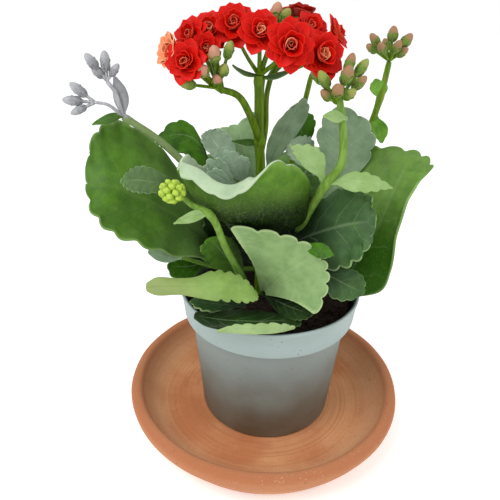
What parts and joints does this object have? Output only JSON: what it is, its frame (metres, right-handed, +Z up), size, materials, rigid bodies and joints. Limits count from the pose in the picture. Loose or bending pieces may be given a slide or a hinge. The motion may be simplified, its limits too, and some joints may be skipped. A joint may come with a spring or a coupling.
{
  "type": "potted kalanchoe",
  "caption": "Flowering kalanchoe with fleshy scalloped leaves and double flower heads on branching stalks, in a round plastic nursery pot on a shallow clay saucer.",
  "frame": {"origin": "centre of the saucer's flat underside, below the pot's axis", "axes": "+Z up along the pot's axis, +Y away from the side the largest curled leaf faces, +X to the right"},
  "size_m": [0.185, 0.17, 0.2436],
  "materials": {
    "saucer": "matte",
    "pot": "matte",
    "soil": "matte",
    "petals": "matte",
    "buds": "matte",
    "stalks": "satin",
    "leaves": "satin",
    "leaf_underside": "matte"
  },
  "bodies": {
    "root": {"saucer": "saucer", "pot": "pot", "soil": "soil", "flower_front": "petals", "flower_west": "petals", "flower_west_low": "petals", "flower_west_high": "petals", "flower_left_back": "petals", "flower_left_front": "petals", "flower_mid_back": "petals", "flower_mid_front": "petals", "flower_right_front": "petals", "flower_top": "petals", "flower_right_back": "petals", "flower_right": "petals", "buds_left": "buds", "buds_top": "buds", "buds_right": "buds", "buds_far": "buds", "buds_west_high": "buds", "buds_west_low": "buds", "buds_head": "buds", "stalk_main": "stalks", "stalk_right": "stalks", "stalk_far_right": "stalks", "stalk_back": "stalks", "stalk_west": "stalks", "stalk_low": "stalks", "leaf_bowl": "leaves", "leaf_south_fan": "leaf_underside", "leaf_east": "leaves", "leaf_southwest_pale": "leaf_underside", "leaf_south_rim": "leaves", "leaf_west": "leaves", "leaf_east_scalloped": "leaves", "leaf_northeast_round": "leaves", "leaf_west_toothed": "leaves", "leaf_west_arched": "leaves", "leaf_north_tall": "leaves", "leaf_north_dark": "leaves", "leaf_north_toothed": "leaves", "leaf_north_pale": "leaves", "leaf_northwest": "leaves", "leaf_rosette_upper": "leaves", "leaf_rosette_lower": "leaves", "leaf_south_dark": "leaves", "leaf_southwest_low": "leaves", "leaf_southwest_inner": "leaves", "leaf_west_low": "leaves", "leaf_south_pointed": "leaves", "leaf_southeast_small": "leaves", "leaf_southeast_low": "leaves", "leaf_core_west": "leaves", "leaf_core_east": "leaves", "leaf_back_east": "leaves", "leaf_back_northeast": "leaves", "leaf_back_north": "leaves", "leaf_back_northwest": "leaves", "leaf_back_west": "leaves", "leaf_back_low": "leaves"}
  },
  "joints": []
}
